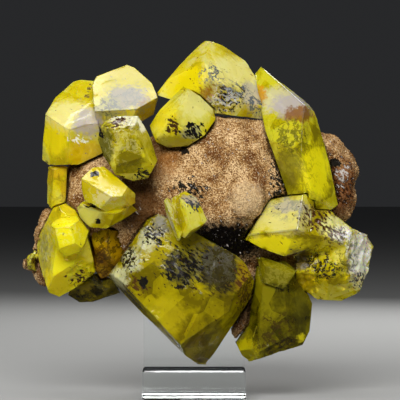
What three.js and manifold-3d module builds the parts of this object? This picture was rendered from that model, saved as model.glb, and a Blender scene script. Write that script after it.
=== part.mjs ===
// Native sulfur: lemon-yellow crystals grown on a rounded rock matrix, standing on a clear stand.
// Millimetres, +Z up, X to the right, Y from front to back.
// The finished group is moved so that the origin is under the middle of the whole, on the table.
import * as THREE from 'three';
import { ConvexGeometry } from 'three/addons/geometries/ConvexGeometry.js';
import { mergeVertices } from 'three/addons/utils/BufferGeometryUtils.js';
import Module from 'manifold-3d';

const GAP = 0.3;            // room between neighbouring pieces
const BELT = 4;             // depth of a crystal's straight sides behind its rim
const BACK_NARROWING = 24;  // degrees by which the sides draw in behind the belt
const SHORT_EDGE = 0.8;     // rim edges shorter than this get no side face
const MERGE = 0.05;         // corners closer than this are one corner
const INSIDE_DEPTH = 0.3;   // how far from rim to back a point surely inside a crystal lies
const TINY = 1e-4;          // slack in plane and corner tests

const STAND_X = -2;         // middle of the stand, left to right
const STAND_WIDTH = 34;
const STEP_HEIGHT = 10;
const STEP_FRONT = -12;
const STEP_BACK = 6;
const RISER_BACK = 22;
const RISER_HEIGHT = 29;
const STAND_CHAMFER = 0.4;

const wasm = await Module();
wasm.setup();

// ---- solids ----

function toSolid(geometry) {
  const bare = geometry.clone();
  bare.deleteAttribute('normal');
  bare.deleteAttribute('uv');
  const merged = mergeVertices(bare, TINY);
  return new wasm.Manifold(new wasm.Mesh({
    numProp: 3,
    vertProperties: new Float32Array(merged.attributes.position.array),
    triVerts: new Uint32Array(merged.index.array),
  }));
}

function toGeometry(solid) {
  const mesh = solid.getMesh();
  const geometry = new THREE.BufferGeometry();
  geometry.setAttribute('position', new THREE.BufferAttribute(mesh.vertProperties, 3));
  geometry.setIndex(new THREE.BufferAttribute(mesh.triVerts, 1));
  geometry.computeVertexNormals();
  return geometry;
}

function largestBody(solid) {
  const bodies = solid.decompose();
  bodies.sort((a, b) => volumeOf(b) - volumeOf(a));
  return bodies[0];
}

function volumeOf(solid) {
  const { vertProperties: v, triVerts: t } = solid.getMesh();
  const corner = (i) => new THREE.Vector3().fromArray(v, 3 * i);
  let volume = 0;
  for (let i = 0; i < t.length; i += 3) {
    volume += corner(t[i]).dot(corner(t[i + 1]).cross(corner(t[i + 2]))) / 6;
  }
  return volume;
}

// ---- crystals ----
// A crystal is the space inside its flat faces. rim holds the corners round its outline, clockwise
// from the upper left as seen from the front; crest holds the corners nearer the front. Each facet is
// the plane through three of those corners. Two side faces stand on each edge of the rim: a straight one
// as deep as the belt, and one behind it that draws in towards the flat back.

function planeThrough(a, b, c, inside) {
  const plane = new THREE.Plane().setFromCoplanarPoints(a, b, c);
  if (plane.distanceToPoint(inside) > 0) plane.negate();
  return plane;
}

function crystalPlanes({ rim, crest, facets, back }) {
  const rimPoints = rim.map((p) => new THREE.Vector3(...p));
  const crestPoint = (key) => new THREE.Vector3(...crest[key]);
  const corner = (key) => (typeof key === 'number' ? rimPoints[key] : crestPoint(key));
  const inside = new THREE.Vector3();
  rimPoints.forEach((p) => inside.addScaledVector(p, 1 / rimPoints.length));
  inside.y = THREE.MathUtils.lerp(inside.y, back, INSIDE_DEPTH);
  const planes = facets.map((keys) => planeThrough(...keys.map(corner), inside));
  const narrowing = THREE.MathUtils.degToRad(BACK_NARROWING);
  rimPoints.forEach((start, i) => {
    const end = rimPoints[(i + 1) % rimPoints.length];
    const along = end.clone().sub(start);
    if (along.length() < SHORT_EDGE) return;
    const outward = new THREE.Vector3(-along.z, 0, along.x).normalize();
    if (outward.dot(inside.clone().sub(start)) > 0) outward.negate();
    planes.push(new THREE.Plane().setFromNormalAndCoplanarPoint(outward, start));
    const beltBack = start.clone().setY(Math.max(start.y, end.y) + BELT);
    const sloped = outward.clone().multiplyScalar(Math.cos(narrowing)).setY(Math.sin(narrowing));
    planes.push(new THREE.Plane().setFromNormalAndCoplanarPoint(sloped, beltBack));
  });
  planes.push(new THREE.Plane(new THREE.Vector3(0, 1, 0), -back));
  return planes;
}

function solidInside(planes, extra) {
  const grown = planes.map((p) => new THREE.Plane(p.normal.clone(), p.constant - extra));
  const corners = [];
  for (let i = 0; i < grown.length; i += 1) {
    for (let j = i + 1; j < grown.length; j += 1) {
      for (let k = j + 1; k < grown.length; k += 1) {
        const [a, b, c] = [grown[i], grown[j], grown[k]];
        const bc = b.normal.clone().cross(c.normal);
        const det = a.normal.dot(bc);
        if (Math.abs(det) < TINY) continue;
        const point = bc.multiplyScalar(-a.constant);
        point.addScaledVector(c.normal.clone().cross(a.normal), -b.constant);
        point.addScaledVector(a.normal.clone().cross(b.normal), -c.constant);
        point.divideScalar(det);
        const isInside = grown.every((p) => p.distanceToPoint(point) < TINY);
        if (isInside && corners.every((q) => q.distanceTo(point) > MERGE)) corners.push(point);
      }
    }
  }
  return toSolid(new ConvexGeometry(corners));
}

function grownTogether(...crystals) {
  const join = (extra) => crystals
    .map((crystal) => solidInside(crystalPlanes(crystal), extra))
    .reduce((whole, next) => whole.add(next));
  return { solid: join(0), room: join(GAP) };
}

const upperLeftPair = grownTogether({
  rim: [
    [-45.5, 2, 105.5], [-40, 4, 106.5], [-35.5, 4, 106], [-32, -3, 81.5], [-40, -3, 77.5],
    [-51, -1, 77.5], [-53.5, 0, 79.5], [-52.5, -2, 86.5], [-51.5, -4, 94.5], [-47.5, -2, 102],
  ],
  crest: {
    shoulder: [-36, -5, 96.5],
    middle: [-43, -12, 89],
    right: [-34, -8, 86],
    foot: [-43.5, -9, 80.5],
  },
  facets: [[9, 1, 'shoulder'], [8, 'shoulder', 'middle'], [8, 'middle', 'foot'], [7, 'foot', 5],
    ['middle', 'right', 'foot']],
  back: 14,
}, {
  rim: [
    [-36, -2, 104.5], [-34.5, 0, 107.5], [-24.5, 2, 111.5], [-22, 1.5, 110.5], [-16, 0, 105], [-14, 0, 100],
    [-15.5, 0, 94.5], [-19.5, -3, 92], [-25, -6, 90.5], [-34, -6, 90],
  ],
  crest: { right: [-16.5, -6, 99], low: [-21, -8, 95.5], left: [-28.5, -9.5, 95.5] },
  facets: [[1, 4, 'left'], [6, 'right', 'low'], ['low', 'left', 8]],
  back: 16,
});

const olivePrism = grownTogether({
  rim: [
    [-33, -18, 88.5], [-31, -17, 91.5], [-28, -16, 93.5], [-20, -15, 93.5], [-15.5, -15, 85.5],
    [-13.5, -15.5, 79], [-17, -16, 73], [-22, -16.5, 72], [-27.5, -17, 74], [-31.5, -18, 80],
    [-33.5, -17.5, 85.5],
  ],
  crest: {
    topLeft: [-28, -23, 88],
    topRight: [-21, -23, 89.5],
    lowLeft: [-28, -22.5, 77],
    lowRight: [-17.5, -22.5, 80],
  },
  facets: [[2, 'topRight', 'topLeft'], ['topLeft', 'topRight', 'lowRight'], [0, 'topLeft', 'lowLeft'],
    [4, 'topRight', 'lowRight'], ['lowLeft', 'lowRight', 7]],
  back: -2,
});

const leftBrightPair = grownTogether({
  rim: [
    [-38.5, -19, 73], [-35, -17, 76.5], [-31, -16.5, 77], [-26.5, -17, 73], [-21, -16, 68.5],
    [-21, -16, 65], [-25.5, -18, 62], [-30, -18.5, 62], [-37.5, -19, 65.5], [-38.5, -19, 69.5],
  ],
  crest: { left: [-37, -22, 72], middle: [-28.5, -24, 67], right: [-24.5, -22, 66.5] },
  facets: [[2, 'left', 'middle'], ['left', 'middle', 8], ['middle', 'right', 7], [4, 'right', 5]],
  back: -4,
}, {
  rim: [
    [-40.5, -14, 63.5], [-38.5, -13, 65.5], [-24.5, -12, 67], [-20.5, -12, 62.5], [-26, -14, 59],
    [-30.5, -15, 56.5], [-36, -14, 57], [-39.5, -14, 60],
  ],
  crest: { left: [-32.5, -19, 62], right: [-28, -19, 60.5] },
  facets: [[1, 2, 'left'], [0, 'left', 6], ['left', 'right', 5], ['right', 3, 4]],
  back: -3,
});

const leftEdgeCrystal = grownTogether({
  rim: [
    [-51.5, 0, 78], [-44, -1, 77.5], [-44.5, -2, 65.5], [-48.5, -1, 62.5], [-52.5, 2, 65.5],
    [-51.5, 1, 72.5],
  ],
  crest: { top: [-49, -3.5, 76.5], low: [-50, -3.5, 65.5], right: [-45, -3, 72.5] },
  facets: [[5, 'top', 'low'], ['top', 'low', 'right'], [0, 'top', 1]],
  back: 10,
});

const lowerLeftPair = grownTogether({
  rim: [
    [-48.5, -5, 63.5], [-44.5, -7, 65], [-41, -8, 62.5], [-36, -9, 55.5], [-35, -9, 47],
    [-33.5, -6, 41], [-39, -6, 38], [-44.5, -3, 33], [-50.5, -3, 35.5], [-53, -3, 43.5],
    [-55.5, -2, 50], [-53, -3, 55.5],
  ],
  crest: {
    left: [-49.5, -11, 57],
    nose: [-45, -17, 47],
    low: [-49.5, -11, 38.5],
    right: [-37.5, -14, 53],
    top: [-44, -12, 61.5],
  },
  facets: [[10, 'left', 'nose'], [9, 'nose', 'low'], ['nose', 5, 7], ['nose', 'right', 5],
    ['left', 'top', 'right'], [1, 'top', 2]],
  back: 10,
}, {
  rim: [
    [-48, -17, 59], [-45.5, -16.5, 60.5], [-40, -16, 61], [-36, -17, 56], [-37, -17, 52],
    [-39, -17, 49], [-43.5, -18, 47.5], [-46.5, -17, 50], [-49.5, -16.5, 55],
  ],
  crest: {
    left: [-47, -23, 57],
    right: [-41.5, -24, 57.5],
    lowRight: [-39.5, -22, 51.5],
    lowLeft: [-45.5, -21.5, 50],
  },
  facets: [[1, 'left', 'right'], [8, 'left', 'lowLeft'], ['left', 'right', 'lowLeft'],
    [3, 'right', 'lowRight'], ['lowRight', 'lowLeft', 6]],
  back: -6,
});

const amberCrystal = grownTogether({
  rim: [
    [-36, -3, 56.5], [-31.5, -5, 57], [-24.5, -2, 55.5], [-23.5, 0, 50], [-28.5, 0, 40.5],
    [-33, 0, 39.5], [-36.5, -2, 44],
  ],
  crest: { middle: [-31, -7.5, 50.5], low: [-34.5, -5, 45.5] },
  facets: [[0, 1, 'middle'], [2, 'middle', 3], ['middle', 'low', 4]],
  back: 12,
});

const darkLowerLeftCrystal = grownTogether({
  rim: [
    [-41.5, 1, 41], [-34, 1, 41.5], [-28.5, 2, 39], [-26.5, 5, 34.5], [-36, 3, 31.5], [-40.5, 3, 31.5],
    [-44.5, 2, 34],
  ],
  crest: { left: [-38.5, -1, 37.5], right: [-33, 0, 36] },
  facets: [['left', 'right', 4], [0, 'left', 1], ['right', 2, 1], ['right', 3, 4]],
  back: 16,
});

const topCrystal = grownTogether({
  rim: [
    [-14.5, 3, 102], [-7, 6, 111.5], [1.5, 10, 120], [4.5, 10, 119.5], [8.5, 9, 118], [15.5, 7, 113.5],
    [20, 4, 105.5], [23, 1, 97], [21.5, 1, 92], [15.5, 0, 91], [5, -4, 94.5], [-13.5, 2, 96.5],
  ],
  crest: { top: [0.5, -3, 111.5], right: [14, -5, 98.5], low: [1, -6, 101.5] },
  facets: [[4, 7, 'right'], [0, 'top', 'low'], ['top', 'right', 'low'], ['right', 7, 9],
    [1, 2, 'top'], ['low', 10, 11]],
  back: 22,
});

const topFrontCrystal = grownTogether({
  rim: [
    [-5.5, -8, 104], [0, -8, 100.5], [4.5, -8.5, 96], [5.5, -9, 92.5], [1.5, -10, 87], [-4, -10, 83.5],
    [-10.5, -10, 83], [-14.5, -10, 85], [-17, -7, 90.5], [-13.5, -7.5, 96],
  ],
  crest: {
    top: [-4.5, -15, 99],
    middle: [-9, -18, 93.5],
    left: [-13.5, -14, 87],
    right: [-1, -13, 86],
  },
  facets: [[1, 'top', 3], [9, 'top', 'middle'], ['top', 'middle', 'right'], ['middle', 'left', 'right'],
    ['middle', 8, 'left'], ['left', 'right', 6]],
  back: 2,
});

const longRightCrystal = grownTogether({
  rim: [
    [18.3, 4, 108.5], [20.5, 6, 111], [30, 5, 103.5], [36.5, 3, 98.5], [39, -2, 93], [43, -4, 78.5],
    [46, -5, 64.5], [43, -6, 62.5], [39, -7, 62], [29.5, -6, 66], [25.3, -6, 78], [21.6, 1, 88.5],
    [20.8, 3, 92.5],
  ],
  crest: {
    left: [20.8, -3.5, 92.5],
    ridge: [33.5, -8.9, 98.2],
    shoulder: [33.5, -12, 92],
    middle: [32.5, -14, 82],
    low: [36.5, -13, 69.5],
  },
  facets: [['left', 'shoulder', 1], [1, 3, 'ridge'], ['left', 'shoulder', 'middle'], ['shoulder', 5, 'low'],
    ['middle', 'low', 10], ['low', 6, 8]],
  back: 14,
});

const rightCluster = grownTogether({
  rim: [
    [14.5, -11, 53], [18.5, -10, 59.5], [22.5, -8, 66.5], [29.5, -8, 67.5], [35, -9, 68], [37.4, -10, 65.5],
    [38.4, -10, 61], [38.4, -12, 50], [27.5, -13, 47.5], [20.5, -12, 50],
  ],
  crest: {
    left: [19, -15, 55],
    middle: [31.5, -20, 56.5],
    top: [34, -13, 66],
    right: [37, -16, 54],
  },
  facets: [[2, 'left', 'middle'], ['left', 'middle', 8], ['top', 'middle', 'right'],
    ['middle', 'right', 8]],
  back: 6,
}, {
  rim: [
    [36, -8, 63], [43, -8, 62.5], [50, -6, 57], [51, -6, 51], [44, -8, 47], [36, -9, 48.5],
  ],
  crest: { top: [40, -13.5, 60], left: [38, -16.5, 54.5], right: [45.5, -14, 53] },
  facets: [[1, 'top', 'right'], ['top', 'left', 'right'], ['left', 'right', 4], [2, 'right', 3]],
  back: 6,
}, {
  rim: [
    [50.5, -4, 56.5], [55.5, -2, 54.5], [58, -1, 50.5], [56, -1, 41.5], [53, -3, 35.5], [47, -3, 32.5],
    [39, -3, 33], [32, -3, 37.5], [31.4, -5, 47.5], [38, -6, 52],
  ],
  crest: { top: [47.5, -13, 47], left: [42, -13, 41], right: [50, -9, 39.5] },
  facets: [[1, 'top', 'right'], ['top', 'left', 'right'], ['left', 6, 7], ['top', 'left', 9],
    ['left', 'right', 5]],
  back: 14,
});

const lowerRightCrystal = grownTogether({
  rim: [
    [18.5, -4, 44], [28, -6, 46], [33, -4, 42], [37.5, -1, 31.5], [36.5, -1, 22.5], [34, -2, 18],
    [23, -6, 14.5], [16, -6, 12.5], [15.8, -5, 14], [16.2, -4, 25.5],
  ],
  crest: {
    topLeft: [20.5, -10, 38],
    topRight: [27.5, -11, 36.5],
    lowLeft: [20.5, -12, 18.5],
    lowRight: [29.5, -11, 21.5],
  },
  facets: [['topLeft', 'topRight', 'lowRight'], [9, 'topLeft', 'lowLeft'], ['topRight', 3, 'lowRight'],
    ['lowLeft', 'lowRight', 6], [1, 'topRight', 'topLeft']],
  back: 5,
}, {
  rim: [
    [18.5, -9, 47], [21.5, -8, 48], [27.5, -10, 45], [32, -10, 43.5], [27.5, -12, 36.5], [20.5, -12, 39],
  ],
  crest: { top: [21.5, -14, 44.5] },
  facets: [[1, 2, 'top'], ['top', 4, 5], [0, 'top', 5]],
  back: 0,
}, {
  rim: [
    [17, -5, 26], [20.5, -6, 23], [21.8, -5, 14], [15.9, -4, 12.8], [13.9, -4, 14.2], [11.6, -3, 18.7],
  ],
  crest: { top: [17.5, -11, 21.5], low: [17, -11.5, 17] },
  facets: [[0, 5, 'top'], [5, 'top', 'low'], ['low', 4, 3], ['top', 'low', 2]],
  back: 6,
});

const greatCrystal = grownTogether({
  rim: [
    [-31.5, -8, 39.5], [-24.5, -8, 49.5], [-17.5, -11, 59.5], [-13, -15.5, 62], [9, -16, 50],
    [14.5, -11, 46], [18, -9, 39.5], [17, -8, 32], [13, -8, 25.5], [5, -5, 15], [2, 0, 10.3],
    [-1, 0, 10.3], [-10, -6, 18.5], [-19.5, -8, 28.5],
  ],
  crest: {
    left: [-24.5, -16, 38],
    upper: [-20, -17, 47],
    middle: [-16, -18, 35.5],
    peak: [-5.5, -20, 41.5],
    nose: [2, -21.5, 34.5],
    right: [10, -17.5, 31],
    low: [-11.5, -16.5, 23.5],
    foot: [-5, -20.2, 20],
  },
  facets: [[0, 2, 'upper'], [12, 'left', 'low'], ['upper', 'middle', 'peak'], ['upper', 'peak', 4],
    ['middle', 'peak', 'nose'], ['nose', 'foot', 'right'], ['foot', 10, 8], ['peak', 'nose', 5],
    ['right', 6, 8]],
  back: 5.5,
});

const centreTwin = grownTogether({
  rim: [
    [-12, -21, 65.5], [-10.5, -20, 67], [-9.5, -21, 66], [-5.5, -22, 55.5], [-7, -22, 52.5],
    [-9, -21, 54.5], [-11.5, -21, 62],
  ],
  crest: { top: [-10.5, -25.5, 64], low: [-7, -26, 55] },
  facets: [[0, 'top', 'low'], [2, 'top', 'low']],
  back: -12,
}, {
  rim: [
    [-9.5, -19, 66.5], [-5, -19, 69], [-1, -19, 67], [2.5, -20, 59.5], [1, -19, 57.5], [-4, -18, 53.5],
    [-6.5, -19, 54],
  ],
  crest: { top: [-5, -26, 64.5], low: [-3, -26, 56] },
  facets: [[0, 'top', 'low'], [3, 'top', 'low'], [1, 'top', 2], ['low', 5, 4]],
  back: -12,
});

const tinyLeftCrystal = grownTogether({
  rim: [[-58.5, 0, 46.5], [-57, 1, 48.5], [-54.5, 0, 49.5], [-54.5, 0, 42], [-57.5, 0, 42.5]],
  crest: { top: [-56.5, -4, 46.5], low: [-56.5, -4, 43.5] },
  facets: [[0, 'top', 'low'], [1, 'top', 2], ['top', 'low', 3], ['low', 4, 3]],
  back: 8,
});

// ---- matrix ----
// Rounded lumps of rock run together, with a rippled skin.
// Each is [x, y, z, half width, half depth, half height].

const LUMP_DETAIL = 4;
const ROCK_RELIEF = 0.05;             // height of the ripples, as a share of a lump's size
const BROAD_WAVES = { x: 5, y: 4 };   // ripples per radian across a lump and front to back
const FINE_WAVES = { x: 7, z: 9 };    // finer, slanting ripples
const FINE_SHARE = 0.6;               // their height beside the broad ones
const lumps = {
  core: [5, 3, 68, 29, 16.5, 28],
  boss: [15, -9, 66, 7.5, 7, 7.5],
  frontLobe: [6, -2, 75.5, 20, 10.5, 16],
  leftLobe: [-27, 6, 66, 21, 14, 24],
  leftRim: [-46, 6, 52, 10, 9, 14],
  leftRimFoot: [-51.3, 6, 46, 5.8, 7, 9],
  leftCrumb: [-57.4, 5, 44.8, 2.6, 4, 2.6],
  rightLobe: [39, 8, 80, 11.5, 10, 9.5],
  rightShoulder: [44.3, 8, 75.5, 9.8, 10, 9.5],
  rightFoot: [42.5, 9, 68, 10.6, 10, 12],
  lowerLobe: [1, 9, 46, 33, 11, 15],
  lowerTail: [15, 1, 30, 6, 4.3, 13],
};

function lumpSolid([x, y, z, halfWidth, halfDepth, halfHeight]) {
  const geometry = new THREE.IcosahedronGeometry(1, LUMP_DETAIL);
  const points = geometry.attributes.position;
  const p = new THREE.Vector3();
  for (let i = 0; i < points.count; i += 1) {
    p.fromBufferAttribute(points, i);
    const broad = Math.sin(BROAD_WAVES.x * p.x + x) * Math.cos(BROAD_WAVES.y * p.y + z);
    const fine = Math.sin(FINE_WAVES.z * p.z + FINE_WAVES.x * p.x + y);
    p.multiplyScalar(1 + ROCK_RELIEF * (broad + FINE_SHARE * fine));
    p.multiply(new THREE.Vector3(halfWidth, halfDepth, halfHeight));
    points.setXYZ(i, p.x + x, p.y + y, p.z + z);
  }
  return toSolid(geometry);
}

// ---- stand ----

function acrylicBlock(front, back, height) {
  const halfWidth = STAND_WIDTH / 2 - STAND_CHAMFER;
  const halfDepth = (back - front) / 2 - STAND_CHAMFER;
  const outline = new THREE.Shape();
  outline.moveTo(-halfWidth, -halfDepth);
  outline.lineTo(halfWidth, -halfDepth);
  outline.lineTo(halfWidth, halfDepth);
  outline.lineTo(-halfWidth, halfDepth);
  outline.closePath();
  const geometry = new THREE.ExtrudeGeometry(outline, {
    depth: height - 2 * STAND_CHAMFER,
    bevelSize: STAND_CHAMFER,
    bevelThickness: STAND_CHAMFER,
    bevelSegments: 1,
  });
  geometry.translate(STAND_X, (front + back) / 2, STAND_CHAMFER);
  return toSolid(geometry);
}

// ---- assembly ----
// Where two pieces would share space the one named first keeps it, and the later one is cut back.

const YELLOW = { color: 0xe3d21c, roughness: 0.2, metalness: 0 };
const OLIVE = { color: 0x8a8418, roughness: 0.25, metalness: 0 };
const AMBER = { color: 0xa07a22, roughness: 0.25, metalness: 0 };
const ROCK = { color: 0xb39472, roughness: 0.9, metalness: 0 };
const ACRYLIC = { color: 0xe8eef0, roughness: 0.05, metalness: 0 };

const crystals = [
  ['centre_twin', centreTwin, YELLOW],
  ['olive_prism', olivePrism, OLIVE],
  ['left_bright_pair', leftBrightPair, YELLOW],
  ['lower_left_pair', lowerLeftPair, YELLOW],
  ['top_front_crystal', topFrontCrystal, YELLOW],
  ['great_crystal', greatCrystal, YELLOW],
  ['right_cluster', rightCluster, YELLOW],
  ['top_crystal', topCrystal, YELLOW],
  ['long_right_crystal', longRightCrystal, YELLOW],
  ['lower_right_crystal', lowerRightCrystal, OLIVE],
  ['upper_left_pair', upperLeftPair, YELLOW],
  ['left_edge_crystal', leftEdgeCrystal, YELLOW],
  ['amber_crystal', amberCrystal, AMBER],
  ['dark_lower_left_crystal', darkLowerLeftCrystal, OLIVE],
  ['tiny_left_crystal', tinyLeftCrystal, YELLOW],
];

const specimen = new THREE.Group();

function addPiece(name, solid, finish) {
  const mesh = new THREE.Mesh(toGeometry(solid), new THREE.MeshStandardMaterial(finish));
  mesh.name = name;
  specimen.add(mesh);
}

let taken = null;
for (const [name, { solid, room }, finish] of crystals) {
  addPiece(name, taken ? largestBody(solid.subtract(taken)) : solid, finish);
  taken = taken ? taken.add(room) : room;
}

const rock = Object.values(lumps).map(lumpSolid).reduce((whole, next) => whole.add(next));
addPiece('matrix', largestBody(rock.subtract(taken)), ROCK);
addPiece('stand_step', acrylicBlock(STEP_FRONT, STEP_BACK, STEP_HEIGHT), ACRYLIC);
addPiece('stand_riser', acrylicBlock(STEP_BACK + GAP, RISER_BACK, RISER_HEIGHT), ACRYLIC);

const box = new THREE.Box3().setFromObject(specimen);
const middle = box.getCenter(new THREE.Vector3());
specimen.position.set(-middle.x, -middle.y, -box.min.z);
specimen.updateMatrixWorld(true);

export default specimen;
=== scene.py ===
import math

import bmesh
import bpy
import numpy as np
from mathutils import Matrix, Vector


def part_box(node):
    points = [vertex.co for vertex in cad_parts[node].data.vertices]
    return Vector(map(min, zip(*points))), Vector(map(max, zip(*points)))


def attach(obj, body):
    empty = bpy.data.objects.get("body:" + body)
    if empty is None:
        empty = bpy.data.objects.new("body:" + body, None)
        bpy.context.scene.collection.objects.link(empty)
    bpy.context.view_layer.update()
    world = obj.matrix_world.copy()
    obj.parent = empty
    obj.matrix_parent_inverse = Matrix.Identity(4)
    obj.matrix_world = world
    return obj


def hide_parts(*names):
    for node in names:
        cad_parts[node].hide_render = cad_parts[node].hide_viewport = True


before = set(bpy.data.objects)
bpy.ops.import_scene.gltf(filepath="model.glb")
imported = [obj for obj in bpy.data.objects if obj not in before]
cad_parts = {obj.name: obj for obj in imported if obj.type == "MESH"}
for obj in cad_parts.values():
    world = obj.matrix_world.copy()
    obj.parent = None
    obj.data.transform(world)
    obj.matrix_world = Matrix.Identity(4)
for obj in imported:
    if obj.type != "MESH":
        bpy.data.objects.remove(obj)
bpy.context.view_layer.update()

# ---- camera ----
# Level, in front of the show side, as far off as a long lens stands from a cabinet specimen.
# It aims at a line 2 mm right of the stand's middle, and 12 mm behind the stand's front face.
# LENS is the focal length in millimetres on a 36 mm frame.
MM = 0.001
CAMERA_DISTANCE = 700 * MM
CAMERA_HEIGHT = 66 * MM
LENS = 189

step_low, step_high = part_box("stand_step")
aim = Vector(((step_low[0] + step_high[0]) / 2 + 2 * MM, step_low[1] + 12 * MM, CAMERA_HEIGHT))
camera_data = bpy.data.cameras.new("camera")
camera_data.lens = LENS
camera_data.sensor_width = 36
camera_data.clip_start = 0.01
camera = bpy.data.objects.new("camera", camera_data)
camera.location = aim - Vector((0, CAMERA_DISTANCE, 0))
camera.rotation_euler = (math.radians(90), 0, 0)
bpy.context.scene.collection.objects.link(camera)
bpy.context.scene.camera = camera

# ---- upper left pair ----
# Two broad sulfur crystals, grown side by side from the rock at the top left. Native sulfur is brittle,
# resinous and see-through where clean: flat faces, slightly worn edges, low growth steps that follow
# the neighbouring faces, and small conchoidal chips along the edges.
EDGE_WEAR = 0.3 * MM
GRID = 0.6 * MM
MOST_DROP = 1.1 * MM
SAME_POINT = 0.002 * MM
FLAT_ANGLE = math.radians(0.6)
EDGE_ANGLE = math.radians(6)
SHARP_ANGLE = math.radians(16)
MAIN_FACES = 12
GROWTH_STEPS = 9
EDGE_CHIPS = 16
SULFUR_IOR = 1.98
SULFUR_ROUGHNESS = 0.1
# Marks, the stains and the painted light and shade alike, leave the sulfur rougher and less clear, and the
# sizes below shape their outlines.
MARKED_ROUGHNESS = 0.24
MARKED_CLEARNESS = 0.03
CLOUD_SIZE = 9 * MM
WISP_SIZE = 2.4 * MM
PANE_SIZE = 7 * MM
PIT_SIZE = 0.9 * MM
MARK_EDGE_SIZE = 3.3 * MM
MARK_EDGE_SWAY = 5 * MM
MARK_DEPTH = 24 * MM
MARK_MIDDLE = 6 * MM
CRUMB_SIZE = 1 * MM
VEIN_SPACING = 3.8 * MM
LILAC = "#aaa1a2"
AMBER = "#80501a"
SOOT = "#191510"
CHALK_AND_GLINT = "#f0eee0"
SLATE = "#74776f"
EARTH = "#4a2d10"
# For each kind of mark: how much its nearness counts, and the levels at which it starts and is full.
MARK_LEVELS = {
    "wash": (1.0, 0.75, 1.2),
    "spot": (1.0, 0.93, 1.05),
    "specks": (0.22, 0.66, 0.71),
    "veins": (0.5, 1.0, 1.25),
}


def linear(hex_colour):
    """The linear colour of an sRGB hex one."""
    channels = [int(hex_colour[i:i + 2], 16) / 255 for i in (1, 3, 5)]
    return [c / 12.92 if c <= 0.04045 else ((c + 0.055) / 1.055) ** 2.4 for c in channels] + [1]


def add(tree, kind, settings=None, **inputs):
    """Adds a node with its settings, and sets or links its inputs: by name, or by number as in3."""
    node = tree.nodes.new(kind)
    for key, value in (settings or {}).items():
        setattr(node, key, value)
    for key, value in inputs.items():
        socket = node.inputs[int(key[2:]) if key[2:].isdigit() else key.replace("_", " ")]
        if isinstance(value, bpy.types.NodeSocket):
            tree.links.new(value, socket)
        else:
            socket.default_value = value
    return node


def new_object(name, mesh):
    piece = bpy.data.objects.new(name, mesh)
    bpy.context.scene.collection.objects.link(piece)
    return piece


def place_on(node, across, up):
    """The x and z of a place on a node's front, as shares of its width and height."""
    low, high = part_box(node)
    return low[0] + across * (high[0] - low[0]), low[2] + up * (high[2] - low[2])


def wavy(points, size, rng):
    """A smooth random field from about -1 to 1, whose waves are about size long."""
    total = np.zeros(len(points))
    for _ in range(6):
        way = rng.normal(size=3)
        way *= 2 * math.pi / (size * rng.uniform(0.7, 1.6) * np.linalg.norm(way))
        total += np.sin(points @ way + rng.uniform(0, 2 * math.pi))
    return total / 3


def broken(points, facing, node, zone, rng):
    """How deep a broken or etched zone lies at each point: fragments that tilt every way.

    A zone is (across, up, radius, drop, fragment size), with sizes in mm.
    """
    across, up, radius, drop, cell = zone
    x, z = place_on(node, across, up)
    away = np.hypot(points[:, 0] - x, points[:, 2] - z) / (radius * MM) + 0.25 * wavy(points, 3 * MM, rng)
    share = np.clip((1.1 - away) / 0.25, 0, 1) * (facing < 0.2)
    inside = np.flatnonzero(share > 0)
    if len(inside) == 0:
        return share
    fragments = points[rng.choice(inside, size=max(6, int(4 * (radius / cell) ** 2)))]
    slopes = rng.normal(size=fragments.shape)
    slopes /= np.linalg.norm(slopes, axis=1)[:, None]
    from_each = points[inside][:, None, :] - fragments[None]
    nearest = np.argmin((from_each ** 2).sum(axis=2), axis=1)
    offset = from_each[np.arange(len(inside)), nearest]
    tilt = (offset * slopes[nearest]).sum(axis=1) / (cell * MM)
    share[inside] *= drop * MM * (0.5 + np.clip(0.9 * tilt, -0.5, 0.5))
    return share


def rounded_grid(node):
    """The flat-faced solid with rounded edges and a fine grid of points, its main face directions,
    and the two ends of each of its edges."""
    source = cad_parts[node]
    work = bmesh.new()
    work.from_mesh(source.data)
    work.transform(source.matrix_world)
    bmesh.ops.remove_doubles(work, verts=work.verts, dist=2.5 * SAME_POINT)
    bmesh.ops.dissolve_limit(work, angle_limit=FLAT_ANGLE, verts=work.verts, edges=work.edges)
    largest = sorted(work.faces, key=lambda f: -f.calc_area())[:MAIN_FACES]
    ways = np.array([f.normal[:] for f in largest])
    sharp = [e for e in work.edges if e.is_manifold and e.calc_face_angle(0) > EDGE_ANGLE]
    ends = np.array([[v.co[:] for v in e.verts] for e in sharp])
    bmesh.ops.bevel(work, geom=sharp, offset=EDGE_WEAR, segments=2, profile=0.6, affect="EDGES",
                    clamp_overlap=True)
    bmesh.ops.remove_doubles(work, verts=work.verts, dist=SAME_POINT)
    low, high = (Vector(corner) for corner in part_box(node))
    for axis in range(3):
        normal = Vector([1 if i == axis else 0 for i in range(3)])
        cuts = int((high[axis] - low[axis]) / GRID)
        for k in range(1, cuts):
            point = low + normal * (high[axis] - low[axis]) * k / cuts
            bmesh.ops.bisect_plane(work, geom=work.verts[:] + work.edges[:] + work.faces[:],
                                   plane_co=point, plane_no=normal, dist=1e-7)
    bmesh.ops.triangulate(work, faces=work.faces)
    work.normal_update()
    mesh = bpy.data.meshes.new(node + "_surface")
    work.to_mesh(mesh)
    work.free()
    return mesh, ways, ends


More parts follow.
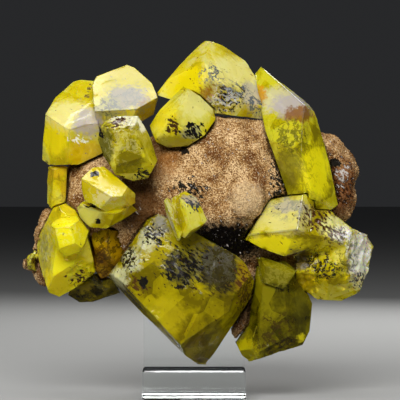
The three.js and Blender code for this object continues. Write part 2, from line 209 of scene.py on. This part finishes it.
def crystal(node, seed, zones=()):
    """One crystal group as it grew and wore: its solid with waves, growth steps, chips and breaks."""
    rng = np.random.default_rng(seed)
    mesh, ways, ends = rounded_grid(node)
    points = np.array([v.co[:] for v in mesh.vertices])
    normals = np.array([v.normal[:] for v in mesh.vertices])
    depth = 0.05 * MM * (1 + wavy(points, 11 * MM, rng)) + 0.006 * MM * wavy(points, 1.6 * MM, rng)
    for _ in range(GROWTH_STEPS):
        along = points @ ways[rng.integers(len(ways))]
        start = along.max() - rng.uniform(0.6, 6) * MM
        along += 0.3 * MM * wavy(points, 5 * MM, rng)
        depth += rng.uniform(0.04, 0.15) * MM * np.clip((along - start) / (0.5 * GRID), 0, 1)
    for _ in range(EDGE_CHIPS):
        first, second = ends[rng.integers(len(ends))]
        bite = first + rng.random() * (second - first)
        depth += 0.6 * np.clip(rng.uniform(0.4, 1.3) * MM - np.linalg.norm(points - bite, axis=1), 0, None)
    for zone in zones:
        depth += broken(points, normals[:, 1], node, zone, rng)
    moved = points - normals * np.clip(depth, 0, MOST_DROP)[:, None]
    mesh.vertices.foreach_set("co", moved.astype(np.float32).ravel())
    mesh.update()
    mesh.shade_smooth()
    mesh.set_sharp_from_angle(angle=SHARP_ANGLE)
    return new_object("sulfur_" + node, mesh)


def marked(tree, place, colour, node, marks):
    """The colour with marks laid over it, and how much of the surface they cover.

    A mark is (kind, across, up, half width, half height, colour, strength), with sizes in mm. A wash
    is soft, a spot is crisp, specks are small slanting grains, and veins are thin crooked lines.
    Noise bends the marks' outlines. It is one half on average, so each centre moves by half the sway.
    """
    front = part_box(node)[0][1]
    warp = add(tree, "ShaderNodeTexNoise", Vector=place, Scale=1 / MARK_EDGE_SIZE, Detail=3,
               Roughness=0.6).outputs["Color"]
    bent = add(tree, "ShaderNodeVectorMath", {"operation": "MULTIPLY_ADD"}, in0=warp,
               in1=(MARK_EDGE_SWAY, MARK_EDGE_SWAY, MARK_EDGE_SWAY), in2=place).outputs[0]
    streaked = add(tree, "ShaderNodeMapping", {"vector_type": "TEXTURE"}, Vector=place,
                   Rotation=(0, math.radians(-45), 0), Scale=(1, 1, 2)).outputs[0]
    grain = add(tree, "ShaderNodeTexNoise", Vector=streaked, Scale=1 / CRUMB_SIZE, Detail=3,
                Roughness=0.6).outputs["Fac"]
    line = add(tree, "ShaderNodeTexNoise", Vector=bent, Scale=1 / VEIN_SPACING, Detail=4,
               Roughness=0.6).outputs["Fac"]
    off_line = add(tree, "ShaderNodeMath", {"operation": "SUBTRACT"}, in0=line, in1=0.5).outputs[0]
    off_line = add(tree, "ShaderNodeMath", {"operation": "ABSOLUTE"}, in0=off_line).outputs[0]
    vein = add(tree, "ShaderNodeMapRange", Value=off_line, From_Min=0.13, From_Max=0).outputs[0]
    covered = 0.0
    for kind, across, up, half_width, half_height, tint, strength in marks:
        x, z = place_on(node, across, up)
        centre = (x + MARK_EDGE_SWAY / 2, front + MARK_MIDDLE, z + MARK_EDGE_SWAY / 2)
        local = add(tree, "ShaderNodeVectorMath", {"operation": "SUBTRACT"}, in0=bent, in1=centre)
        scale = (1 / (half_width * MM), 1 / MARK_DEPTH, 1 / (half_height * MM))
        scaled = add(tree, "ShaderNodeVectorMath", {"operation": "MULTIPLY"}, in0=local.outputs[0], in1=scale)
        away = add(tree, "ShaderNodeVectorMath", {"operation": "LENGTH"}, in0=scaled.outputs[0])
        near = add(tree, "ShaderNodeMapRange", Value=away.outputs["Value"], From_Min=1.5, From_Max=0.5)
        share, start, full = MARK_LEVELS[kind]
        level = add(tree, "ShaderNodeMath", {"operation": "MULTIPLY_ADD"}, in0=near.outputs[0], in1=share,
                    in2=vein if kind == "veins" else grain)
        mask = add(tree, "ShaderNodeMapRange", Value=level.outputs[0], From_Min=start, From_Max=full,
                   To_Max=strength).outputs[0]
        colour = add(tree, "ShaderNodeMix", {"data_type": "RGBA"}, in0=mask, in6=colour,
                     in7=linear(tint)).outputs[2]
        covered = add(tree, "ShaderNodeMath", {"operation": "MAXIMUM"}, in0=covered, in1=mask).outputs[0]
    return colour, covered


def sulfur(name, node, deep, body, bright, marks, clear=0.35):
    """Sulfur in clouds, wisps and straight-edged panes: deep where it is clear, bright where milky.

    It lets light in and scatters the yellow part of it, so that edges glow, and its faces shine like resin.
    """
    material = bpy.data.materials.new(name)
    material.use_nodes = True
    tree = material.node_tree
    tree.nodes.clear()
    place = add(tree, "ShaderNodeNewGeometry").outputs["Position"]
    cloud = add(tree, "ShaderNodeTexNoise", Vector=place, Scale=1 / CLOUD_SIZE, Detail=4, Roughness=0.55,
                Distortion=0.6).outputs["Fac"]
    wisps = add(tree, "ShaderNodeTexNoise", Vector=place, Scale=1 / WISP_SIZE, Detail=5, Roughness=0.6,
                Distortion=1.6).outputs["Fac"]
    cloud = add(tree, "ShaderNodeMath", {"operation": "MULTIPLY_ADD"}, in0=wisps, in1=0.3, in2=cloud)
    panes = add(tree, "ShaderNodeTexVoronoi", Vector=place, Scale=1 / PANE_SIZE).outputs["Color"]
    pane = add(tree, "ShaderNodeSeparateColor", Color=panes).outputs[0]
    level = add(tree, "ShaderNodeMath", {"operation": "MULTIPLY_ADD"}, in0=pane, in1=0.27,
                in2=cloud.outputs[0])
    tone = add(tree, "ShaderNodeValToRGB", Fac=level.outputs[0])
    tone.color_ramp.elements.new(0.5)
    for element, position, stop in zip(tone.color_ramp.elements, (0.62, 0.77, 0.92), (deep, body, bright)):
        element.position = position
        element.color = linear(stop)
    colour, covered = marked(tree, place, tone.outputs["Color"], node, marks)
    clean = add(tree, "ShaderNodeMapRange", Value=covered, To_Min=clear, To_Max=MARKED_CLEARNESS).outputs[0]
    gloss = add(tree, "ShaderNodeMapRange", Value=covered, To_Min=SULFUR_ROUGHNESS,
                To_Max=MARKED_ROUGHNESS).outputs[0]
    fine = add(tree, "ShaderNodeTexNoise", Vector=place, Scale=1 / PIT_SIZE, Detail=2).outputs["Fac"]
    bump = add(tree, "ShaderNodeBump", Height=fine, Strength=0.12, Distance=0.1 * MM).outputs[0]
    shader = add(tree, "ShaderNodeBsdfPrincipled", Base_Color=colour, Roughness=gloss, IOR=SULFUR_IOR,
                 Transmission_Weight=clean, Subsurface_Weight=0.6, Subsurface_Scale=1.0,
                 Subsurface_Radius=(0.004, 0.003, 0.0003), Normal=bump)
    absorb = add(tree, "ShaderNodeVolumeAbsorption", Color=(0.98, 0.94, 0.05, 1), Density=300)
    add(tree, "ShaderNodeOutputMaterial", Surface=shader.outputs[0], Volume=absorb.outputs[0])
    return material


pair = crystal("upper_left_pair", 11, zones=[(0.38, 0.22, 4, 0.3, 1.2)])
marks = [
    ("wash", 0.13, 0.29, 4.5, 7, "#ecd800", 0.9), ("wash", 0.40, 0.10, 6.5, 4.5, "#c8a404", 0.8),
    ("wash", 0.25, 0.49, 8, 5, "#dcd490", 0.7), ("wash", 0.42, 0.42, 4.5, 5, LILAC, 0.8),
    ("wash", 0.76, 0.8, 10, 8, "#b8ac10", 0.9), ("wash", 0.75, 0.66, 6, 4, "#8f877c", 0.9),
    ("wash", 0.92, 0.52, 3.5, 4.5, AMBER, 0.7), ("wash", 0.58, 0.56, 4, 3.5, "#8c8a5c", 0.8),
    ("veins", 0.58, 0.58, 4, 3.5, SOOT, 0.7), ("veins", 0.75, 0.64, 8, 6, SLATE, 0.6),
    ("specks", 0.34, 0.25, 3, 1.5, CHALK_AND_GLINT, 0.9), ("specks", 0.41, 0.75, 1, 4, EARTH, 0.9),
]
material = sulfur("pale_sulfur", "upper_left_pair", "#cdb800", "#e6d40c", "#f0e45c", marks)
pair.data.materials.append(material)
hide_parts("upper_left_pair")
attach(pair, "root")

# ---- olive prism ----
# A stubby rounded prism in front of the pair: clouded olive sulfur with a bright inside.
# Its top is etched to a frost with brown dirt in it, and black crumbs stick to its foot.
prism = crystal("olive_prism", 12, zones=[(0.5, 0.92, 5, 0.35, 1.0), (0.7, 0.1, 4, 0.3, 1.0)])
marks = [
    # The thin white wash at the top right edge is a painted highlight.
    ("wash", 0.46, 0.94, 5.5, 2.2, "#d6d2ae", 0.9), ("wash", 0.74, 0.89, 1.6, 3, CHALK_AND_GLINT, 0.95),
    ("wash", 0.12, 0.53, 3, 6.5, "#3c380a", 0.85), ("wash", 0.87, 0.29, 2.5, 4.5, "#c8bc10", 0.8),
    ("veins", 0.45, 0.6, 6, 6, "#d8d49c", 0.3), ("specks", 0.34, 0.89, 3.5, 2.5, EARTH, 1),
    ("spot", 0.04, 0.74, 1.1, 1.8, SOOT, 1), ("specks", 0.75, 0.1, 3, 2, SOOT, 1),
    ("spot", 0.41, 0.09, 0.8, 0.6, SOOT, 1),
]
material = sulfur("olive_sulfur", "olive_prism", "#8a7e0a", "#c6b810", "#e6da4c", marks, 0.4)
prism.data.materials.append(material)
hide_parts("olive_prism")
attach(prism, "root")

# ---- left bright pair ----
# A bright lemon-yellow crystal lying on a thin paler plate. White healed cracks cross the crystal,
# and black crumbs of bitumen sit on its top, between the two, and on the plate.
bright = crystal("left_bright_pair", 13, zones=[(0.4, 0.9, 2, 0.3, 1.0)])
marks = [
    # The deeper yellow wash over the top face is painted shade that tones down the overhead light there.
    ("wash", 0.2, 0.22, 5, 3, "#c8c870", 0.7), ("wash", 0.5, 0.72, 9, 6, "#c8b400", 0.85),
    ("veins", 0.48, 0.52, 6, 3, CHALK_AND_GLINT, 0.3), ("wash", 0.9, 0.35, 2.5, 4, "#c09c08", 0.7),
    ("spot", 0.37, 0.11, 0.9, 0.9, SOOT, 1), ("spot", 0.34, 0.88, 1.6, 0.9, SOOT, 1),
    ("spot", 0.26, 0.38, 2.2, 0.7, SOOT, 1),
]
material = sulfur("lemon_sulfur", "left_bright_pair", "#c4b000", "#e4d404", "#eee440", marks)
bright.data.materials.append(material)
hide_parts("left_bright_pair")
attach(bright, "root")

# ---- left edge crystal ----
# A narrow upright crystal at the rock's left edge, clean yellow with an amber-stained edge.
edge = crystal("left_edge_crystal", 14)
marks = [
    ("wash", 0.5, 0.85, 4, 2, "#c8a408", 0.7), ("wash", 0.9, 0.4, 1.2, 5, "#a88408", 0.7),
    ("veins", 0.5, 0.45, 3, 6, EARTH, 0.4),
]
material = sulfur("edge_sulfur", "left_edge_crystal", "#c8b000", "#ecd808", "#f2e650", marks)
edge.data.materials.append(material)
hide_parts("left_edge_crystal")
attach(edge, "root")

# ---- lower left pair ----
# A tall crystal with a steep grey-green face, and a very bright block grown into its side.
# The tall one is frosted on its steep face and finely pitted near its foot.
lower_pair = crystal("lower_left_pair", 15, zones=[(0.8, 0.2, 5, 0.9, 1.3), (0.1, 0.55, 3, 0.25, 1.2)])
marks = [
    ("wash", 0.1, 0.55, 3.4, 12, "#989242", 0.95), ("wash", 0.58, 0.63, 6, 6, "#f0e400", 0.9),
    # The bright yellow wash low on the tall one is painted light: it brightens its down-facing low face
    # against its shade.
    ("wash", 0.4, 0.15, 5, 4, "#e0cc04", 0.9), ("specks", 0.83, 0.18, 5, 4, EARTH, 1),
    ("veins", 0.15, 0.55, 4, 12, "#d8d8b8", 0.25), ("veins", 0.58, 0.7, 5, 4, CHALK_AND_GLINT, 0.12),
]
material = sulfur("block_sulfur", "lower_left_pair", "#d0bc00", "#f0dc04", "#f6e824", marks, 0.2)
lower_pair.data.materials.append(material)
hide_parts("lower_left_pair")
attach(lower_pair, "root")

# ---- amber crystal ----
# A short crystal standing in the shade beside the block: sulfur browned by bitumen in it.
amber = crystal("amber_crystal", 16)
marks = [
    ("wash", 0.2, 0.85, 2.5, 3, "#d8bc10", 0.8), ("veins", 0.5, 0.5, 7, 9, "#3c2408", 0.8),
    ("wash", 0.6, 0.2, 4, 4, "#4c3408", 0.6),
]
material = sulfur("bitumen_brown_sulfur", "amber_crystal", "#6c4804", "#ac7c08", "#d0a408", marks)
amber.data.materials.append(material)
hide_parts("amber_crystal")
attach(amber, "root")

# ---- dark lower left crystal ----
# A low crystal under the rock's left lobe, smoky olive and half hidden.
dark = crystal("dark_lower_left_crystal", 17)
marks = [
    ("veins", 0.4, 0.5, 8, 5, SOOT, 0.8), ("wash", 0.25, 0.6, 4, 2, "#a08c10", 0.6),
]
material = sulfur("smoky_sulfur", "dark_lower_left_crystal", "#302904", "#544a08", "#7a6c0c", marks)
dark.data.materials.append(material)
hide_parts("dark_lower_left_crystal")
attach(dark, "root")

# ---- top front crystal ----
# A leaning crystal on top of the rock, golden on the left and pale on the upper right.
# Rusty and black specks fill an etched hollow low on its front.
top_front = crystal("top_front_crystal", 18, zones=[(0.4, 0.32, 3, 0.4, 1.0)])
marks = [
    ("wash", 0.72, 0.7, 6, 5, "#e0dc8c", 0.8), ("wash", 0.25, 0.5, 4, 5, "#e4d420", 0.7),
    ("wash", 0.5, 0.1, 9, 2.5, "#8c8204", 0.8), ("wash", 0.62, 0.26, 3.5, 2.2, "#8c8c68", 0.8),
    ("specks", 0.36, 0.33, 2.5, 3, EARTH, 1), ("specks", 0.64, 0.26, 4, 2.5, SOOT, 1),
    ("spot", 0.61, 0.38, 0.9, 0.8, SOOT, 1),
]
material = sulfur("golden_sulfur", "top_front_crystal", "#ccb800", "#ecdc10", "#f4ea60", marks)
top_front.data.materials.append(material)
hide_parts("top_front_crystal")
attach(top_front, "root")

# ---- great crystal ----
# The largest crystal, hanging in front: deep olive-yellow sulfur with clear panes below.
# Its top end is broken off and frosted, and soot-black and slate veins of clay run under its top faces.
great = crystal("great_crystal", 19, zones=[(0.1, 0.63, 4, 0.5, 1.4), (0.2, 0.77, 4, 0.5, 1.4),
                                            (0.33, 0.9, 5, 0.8, 1.8), (0.6, 0.72, 9, 0.35, 1.8),
                                            (0.3, 0.33, 4, 0.6, 1.3)])
marks = [
    ("wash", 0.08, 0.58, 3, 4, "#c4c498", 0.85), ("wash", 0.17, 0.7, 3, 4, "#c4c498", 0.85),
    ("wash", 0.27, 0.83, 3, 4, "#b8b890", 0.85), ("wash", 0.36, 0.92, 3, 4, "#7c7868", 0.9),
    # These two dark washes under the top faces are partly painted shade from the rock and the crystals above,
    # partly dark clay.
    ("wash", 0.5, 0.66, 6, 6, "#45421c", 0.85), ("wash", 0.75, 0.66, 7, 9, "#221b0c", 0.96),
    ("wash", 0.93, 0.55, 3, 8, "#7a6004", 0.8), ("veins", 0.68, 0.7, 10, 7, "#5a584a", 0.55),
    ("specks", 0.14, 0.72, 3, 5, SOOT, 1), ("specks", 0.33, 0.86, 4, 4, SOOT, 1),
    ("specks", 0.52, 0.66, 8, 7, SOOT, 1), ("specks", 0.93, 0.5, 3, 8, EARTH, 1),
    ("specks", 0.2, 0.53, 4, 3, EARTH, 1), ("spot", 0.25, 0.56, 1.2, 1.8, SOOT, 1),
    ("wash", 0.4, 0.35, 6, 5, "#b0a004", 0.7),
]
material = sulfur("olive_yellow_sulfur", "great_crystal", "#7a6c00", "#a69600", "#beae04", marks, 0.35)
great.data.materials.append(material)
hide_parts("great_crystal")
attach(great, "root")

# ---- right cluster ----
# Three crystals grown into each other at the right: a broad cream-topped one, an etched shoulder,
# and an outer one whose front is a rough, glinting broken face with black cracks and a brown hollow.
cluster = crystal("right_cluster", 20, zones=[(0.54, 0.8, 4, 0.6, 1.2), (0.67, 0.7, 5, 0.6, 1.3),
                                              (0.86, 0.42, 9, 1.1, 2.4), (0.5, 0.36, 6, 0.8, 1.6),
                                              (0.47, 0.12, 4, 0.5, 1.2)])
marks = [
    ("wash", 0.3, 0.8, 9, 6, "#ccc47c", 0.7), ("wash", 0.35, 0.88, 6, 2, LILAC, 0.5),
    # The pale wash on the shoulder and the two white washes on the broken face are partly frost, partly
    # painted glints.
    ("wash", 0.23, 0.53, 10, 3, "#e6d800", 0.9), ("wash", 0.67, 0.7, 5, 4, "#dcd890", 0.85),
    ("wash", 0.9, 0.42, 5, 11, "#f0eed8", 0.95), ("wash", 0.73, 0.62, 4, 2.5, CHALK_AND_GLINT, 0.9),
    ("wash", 0.42, 0.38, 4, 4, "#5c4c30", 0.9), ("wash", 0.47, 0.14, 3.5, 4, "#b09408", 0.8),
    ("veins", 0.33, 0.87, 7, 3.5, SLATE, 0.6), ("specks", 0.55, 0.8, 6, 5, EARTH, 1),
    ("specks", 0.66, 0.62, 5, 4, EARTH, 0.8), ("veins", 0.8, 0.4, 4, 7, SOOT, 0.6),
    ("veins", 0.59, 0.34, 6, 5, SOOT, 1), ("specks", 0.9, 0.2, 4, 3, SOOT, 0.9),
]
material = sulfur("frosted_sulfur_with_painted_glints", "right_cluster", "#a89600", "#d8c80c", "#e6da50", marks)
cluster.data.materials.append(material)
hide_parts("right_cluster")
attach(cluster, "root")

# ---- top crystal ----
# The highest crystal: a vivid lower face, a pale upper face veined with grey-blue clay,
# and below them a dull face full of black and white inclusions.
top = crystal("top_crystal", 21, zones=[(0.55, 0.25, 5, 0.45, 1.2)])
marks = [
    ("wash", 0.25, 0.43, 8, 7, "#d8c600", 0.9), ("wash", 0.69, 0.5, 9, 9, "#dcd68c", 0.7),
    ("wash", 0.85, 0.3, 3.5, 5, LILAC, 0.7), ("wash", 0.55, 0.26, 8, 5, "#8a7a1c", 0.9),
    ("veins", 0.5, 0.55, 4, 3, "#5a6068", 1), ("veins", 0.68, 0.34, 5, 3.5, "#5a6068", 1),
    ("veins", 0.88, 0.18, 4, 4, "#5a6068", 1), ("specks", 0.6, 0.26, 7, 4, SOOT, 1),
    ("specks", 0.45, 0.3, 4, 3, "#8c6410", 0.9), ("veins", 0.6, 0.22, 6, 4, CHALK_AND_GLINT, 0.3),
]
material = sulfur("veined_sulfur", "top_crystal", "#ccb808", "#ecdc30", "#f4ec88", marks)
top.data.materials.append(material)
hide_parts("top_crystal")
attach(top, "root")

# ---- long right crystal ----
# A long crystal down the right of the rock: a dim olive bevel, a cream and lilac upper face with
# an amber stain, swirls of dark clay across its middle, and a clear yellow-green lower end.
long_right = crystal("long_right_crystal", 22, zones=[(0.41, 0.51, 5, 0.4, 1.3)])
marks = [
    ("wash", 0.3, 0.76, 9, 5, "#c8c298", 0.8), ("wash", 0.42, 0.72, 7, 4, LILAC, 0.8),
    ("wash", 0.52, 0.66, 5, 2.5, AMBER, 0.9), ("wash", 0.07, 0.8, 1.6, 4, "#c08408", 0.9),
    ("wash", 0.8, 0.75, 2, 9, "#6c6408", 0.9), ("wash", 0.71, 0.27, 5, 9, "#f0e408", 0.9),
    ("wash", 0.36, 0.27, 4, 9, "#7a7008", 0.8), ("veins", 0.41, 0.52, 6, 5, "#38340c", 0.75),
    ("veins", 0.45, 0.25, 7, 12, "#5c5408", 0.4),
]
material = sulfur("swirled_sulfur", "long_right_crystal", "#948800", "#ccc004", "#e0d82c", marks)
long_right.data.materials.append(material)
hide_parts("long_right_crystal")
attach(long_right, "root")

# ---- lower right crystal ----
# A big olive crystal with a brighter cap and a small bright foot, veined with brown clay.
lower_right = crystal("lower_right_crystal", 23, zones=[(0.5, 0.15, 5, 0.4, 1.3)])
marks = [
    ("wash", 0.54, 0.85, 6.5, 4, "#807804", 0.8), ("wash", 0.15, 0.1, 4, 4, "#bcb008", 0.8),
    ("wash", 0.85, 0.5, 2.5, 10, "#3c3808", 0.7), ("veins", 0.54, 0.82, 6, 4, "#b0a83c", 0.4),
    # The small bright yellow wash low on the right is a painted glint.
    ("veins", 0.5, 0.25, 7, 8, "#3a2a0c", 0.9), ("wash", 0.84, 0.22, 1.5, 1.5, "#d8cc10", 0.9),
]
material = sulfur("shaded_olive_sulfur", "lower_right_crystal", "#443e00", "#6e6604", "#92880a", marks, 0.35)
lower_right.data.materials.append(material)
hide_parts("lower_right_crystal")
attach(lower_right, "root")

# ---- centre twin ----
# Two thin blades grown together in the middle of the druse, their tops smudged with grey clay.
twin = crystal("centre_twin", 24, zones=[(0.65, 0.82, 3, 0.3, 1.0)])
marks = [
    ("wash", 0.68, 0.82, 3.5, 2, LILAC, 0.7), ("specks", 0.72, 0.78, 4, 3, "#3c4048", 1),
    ("wash", 0.75, 0.1, 3, 2, "#6c6404", 0.8), ("veins", 0.2, 0.5, 2, 8, CHALK_AND_GLINT, 0.4),
]
material = sulfur("blade_sulfur", "centre_twin", "#bcac04", "#ece010", "#f6ee68", marks, 0.3)
twin.data.materials.append(material)
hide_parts("centre_twin")
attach(twin, "root")

# ---- tiny left crystal ----
# A crumb-sized crystal on the rock's left rim, dusted with the druse it sits in.
tiny = crystal("tiny_left_crystal", 25)
marks = [
    ("specks", 0.3, 0.4, 3, 3, EARTH, 0.9),
]
material = sulfur("dusted_sulfur", "tiny_left_crystal", "#a08c04", "#d4c420", "#e4d84c", marks)
tiny.data.materials.append(material)
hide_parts("tiny_left_crystal")
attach(tiny, "root")

# ---- the matrix ----
# Rounded rock, tan with rusty and black patches, that the sulfur grew on. Painted shade darkens the side left
# of its middle, the recess under its pale boss, and its bottom.
# Its whole skin is a druse: a crust of tiny glassy crystals that sparkle like coarse sugar.
SKIN_VOXEL = 0.8 * MM
GRAINS = 24500
GRAIN_HALF_WIDTH = (0.16 * MM, 0.36 * MM)
KNOB_SIZE = 5 * MM
KNOB_HEIGHT = 1.6 * MM
PATCH_SIZE = 7.7 * MM
GRIT_SIZE = 0.43 * MM

rock_marks_and_painted_shade = [
    ("wash", 0.66, 0.62, 5.5, 5.5, "#bca47c", 0.5), ("wash", 0.4, 0.78, 7, 6, "#8c5c28", 0.6),
    # Painted shade: a dark brown wash on the side left of the middle, and a near-black one in the recess
    # under the boss.
    ("wash", 0.35, 0.6, 7, 10, "#4a2c10", 0.9), ("wash", 0.6, 0.435, 13, 7, "#080504", 1),
    # Painted shade: a broad dark wash along the rock's bottom.
    ("wash", 0.5, 0.18, 34, 9, "#2c1a0c", 0.9), ("specks", 0.76, 0.7, 4, 18, SOOT, 1),
    ("specks", 0.5, 0.66, 6, 4, SOOT, 1), ("spot", 0.485, 0.83, 1.6, 1.3, SOOT, 1),
    ("wash", 0.94, 0.66, 7, 12, "#6b3c18", 0.85), ("specks", 0.93, 0.68, 8, 12, "#2e1606", 1),
    ("wash", 0.96, 0.92, 7, 3, "#c89c68", 0.9), ("spot", 0.925, 0.775, 3, 2, SOOT, 1),
    ("specks", 0.945, 0.73, 2.5, 4, "#b8b0a8", 1),
]


def rock_material(name, roughness):
    """Rock in soft brown patches with a rusty and pale grit, drawn a little coarser than it is to show."""
    material = bpy.data.materials.new(name)
    material.use_nodes = True
    tree = material.node_tree
    tree.nodes.clear()
    place = add(tree, "ShaderNodeNewGeometry").outputs["Position"]
    patches = add(tree, "ShaderNodeTexNoise", Vector=place, Scale=1 / PATCH_SIZE, Detail=6, Roughness=0.65)
    tone = add(tree, "ShaderNodeValToRGB", Fac=patches.outputs["Fac"])
    tone.color_ramp.elements.new(0.5)
    browns = ("#6a421a", "#a6804e", "#c8a676")
    for element, position, stop in zip(tone.color_ramp.elements, (0.4, 0.5, 0.6), browns):
        element.position = position
        element.color = linear(stop)
    grit = add(tree, "ShaderNodeTexNoise", Vector=place, Scale=1 / GRIT_SIZE, Detail=2).outputs["Fac"]
    rust = add(tree, "ShaderNodeMapRange", Value=grit, From_Min=0.52, From_Max=0.58, To_Max=0.85).outputs[0]
    pale = add(tree, "ShaderNodeMapRange", Value=grit, From_Min=0.44, From_Max=0.34, To_Max=0.5).outputs[0]
    colour = add(tree, "ShaderNodeMix", {"data_type": "RGBA"}, in0=rust, in6=tone.outputs["Color"],
                 in7=linear("#5a3210")).outputs[2]
    colour = add(tree, "ShaderNodeMix", {"data_type": "RGBA"}, in0=pale, in6=colour,
                 in7=linear("#ecd8b0")).outputs[2]
    colour = marked(tree, place, colour, "matrix", rock_marks_and_painted_shade)[0]
    shader = add(tree, "ShaderNodeBsdfPrincipled", Base_Color=colour, Roughness=roughness, IOR=1.6)
    add(tree, "ShaderNodeOutputMaterial", Surface=shader.outputs[0])
    return material


# The rock under the crust: the flat-faced solid, made knobbly and rounded.
rock_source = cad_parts["matrix"]
rock = new_object("matrix_rock", rock_source.data.copy())
rock.data.transform(rock_source.matrix_world)
remesh = rock.modifiers.new("skin", "REMESH")
remesh.mode = "VOXEL"
remesh.voxel_size = SKIN_VOXEL
smooth = rock.modifiers.new("weathered", "SMOOTH")
smooth.iterations = 3
lumps = bpy.data.textures.new("knobs", "CLOUDS")
lumps.noise_scale = KNOB_SIZE
knobs = rock.modifiers.new("knobs", "DISPLACE")
knobs.texture = lumps
knobs.strength = KNOB_HEIGHT
knobs.mid_level = 0.75
knobs.texture_coords = "GLOBAL"
evaluated = rock.evaluated_get(bpy.context.evaluated_depsgraph_get())
rock_mesh = bpy.data.meshes.new_from_object(evaluated)
rock.modifiers.clear()
rock.data = rock_mesh
rock.data.materials.clear()
rock.data.materials.append(rock_material("druse_bed", 0.85))
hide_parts("matrix")
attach(rock, "root")

# The crust: small double pyramids at every angle, sunk half into the rock, in two meshes.
rock_mesh.calc_loop_triangles()
corners = np.array([v.co[:] for v in rock_mesh.vertices])
triangles = np.array([t.vertices[:] for t in rock_mesh.loop_triangles])
a, b, c = (corners[triangles[:, i]] for i in range(3))
normals = np.cross(b - a, c - a)
areas = np.linalg.norm(normals, axis=1)
normals /= np.maximum(areas, 1e-15)[:, None]
pyramids = np.array([(1, 0, 0), (-1, 0, 0), (0, 1, 0), (0, -1, 0), (0, 0, 1.3), (0, 0, -1.3)])
sides = np.array([(0, 2, 4), (2, 1, 4), (1, 3, 4), (3, 0, 4), (2, 0, 5), (1, 2, 5), (3, 1, 5), (0, 3, 5)])
druse_material = rock_material("druse_crystals", 0.2)
for name, seed, front in (("front", 5, True), ("back", 6, False)):
    rng = np.random.default_rng(seed)
    weight = areas * ((normals[:, 1] < 0.1) == front)
    chosen = rng.choice(len(areas), size=GRAINS, p=weight / weight.sum())
    u, v = rng.random((2, GRAINS))
    flip = u + v > 1
    u[flip], v[flip] = 1 - u[flip], 1 - v[flip]
    spots = a[chosen] + u[:, None] * (b - a)[chosen] + v[:, None] * (c - a)[chosen]
    sizes = rng.uniform(*GRAIN_HALF_WIDTH, size=GRAINS)
    turns = np.linalg.qr(rng.normal(size=(GRAINS, 3, 3)))[0]
    turns *= np.sign(np.linalg.det(turns))[:, None, None]
    grain_points = np.einsum("nij,kj->nki", turns, pyramids) * sizes[:, None, None] + spots[:, None, :]
    grain_faces = (sides[None] + 6 * np.arange(GRAINS)[:, None, None]).reshape(-1, 3)
    grain_mesh = bpy.data.meshes.new("druse_" + name)
    grain_mesh.from_pydata(grain_points.reshape(-1, 3).tolist(), [], grain_faces.tolist())
    druse = new_object("druse_" + name, grain_mesh)
    druse.data.materials.append(druse_material)
    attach(druse, "root")

# ---- the stand ----
# Two blocks of clear cast acrylic, sawn and flame polished: water-clear, with bright edges.
SMEAR_SIZE = 8 * MM

acrylic = bpy.data.materials.new("clear_cast_acrylic")
acrylic.use_nodes = True
tree = acrylic.node_tree
tree.nodes.clear()
place = add(tree, "ShaderNodeNewGeometry").outputs["Position"]
smear = add(tree, "ShaderNodeTexNoise", Vector=place, Scale=1 / SMEAR_SIZE, Detail=3)
smears = add(tree, "ShaderNodeMapRange", Value=smear.outputs["Fac"], To_Min=0.01, To_Max=0.07)
shader = add(tree, "ShaderNodeBsdfPrincipled", Base_Color=linear("#fbfdfd"), Roughness=smears.outputs[0],
             IOR=1.49, Transmission_Weight=1.0)
add(tree, "ShaderNodeOutputMaterial", Surface=shader.outputs[0])
for node in ("stand_step", "stand_riser"):
    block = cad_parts[node]
    block.data.materials.clear()
    block.data.materials.append(acrylic)

# ---- the studio ----
# A plain pale floor in a dark room. A softbox overhead gives the shine. Two large diffusers, in front and
# behind, only fill, and the floor is flagged, so none of the three leaves a mirror image in the facets.
# Here places and sizes are in metres, and powers in watts.
FLOOR_HALF = 20
ROOM_LIGHT = 0.08

bpy.context.scene.view_settings.view_transform = "Standard"
floor_mesh = bpy.data.meshes.new("floor")
floor_corners = [(x * FLOOR_HALF, y * FLOOR_HALF, 0) for x, y in ((-1, -1), (1, -1), (1, 1), (-1, 1))]
floor_mesh.from_pydata(floor_corners, [], [(0, 1, 2, 3)])
floor = new_object("floor", floor_mesh)
paper = bpy.data.materials.new("pale_paper")
paper.use_nodes = True
paper.node_tree.nodes["Principled BSDF"].inputs["Base Color"].default_value = linear("#a4a4a2")
paper.node_tree.nodes["Principled BSDF"].inputs["Roughness"].default_value = 0.9
floor.data.materials.append(paper)
floor.visible_glossy = False


def softbox(name, place, target, size, power, mirrored):
    """An area light. Where mirrored is False it fills the shadows without a reflection of its own."""
    data = bpy.data.lights.new(name, "AREA")
    data.shape = "RECTANGLE"
    data.size, data.size_y = size
    data.energy = power
    light = bpy.data.objects.new(name, data)
    light.location = place
    light.rotation_euler = (Vector(target) - Vector(place)).to_track_quat("-Z", "Y").to_euler()
    light.visible_camera = False
    light.visible_glossy = mirrored
    bpy.context.scene.collection.objects.link(light)


softbox("front", (-0.14, -0.85, 0.58), (0, 0, 0.07), (0.7, 0.4), 14.5, False)
softbox("overhead", (-0.05, -0.12, 0.6), (0, 0, 0.07), (0.34, 0.26), 0.85, True)
softbox("behind", (0.2, 0.5, 0.35), (0, 0, 0.07), (0.5, 0.3), 2.5, False)
world = bpy.data.worlds.new("room")
world.use_nodes = True
world.node_tree.nodes["Background"].inputs["Color"].default_value = linear("#8c8e92")
world.node_tree.nodes["Background"].inputs["Strength"].default_value = ROOM_LIGHT
bpy.context.scene.world = world
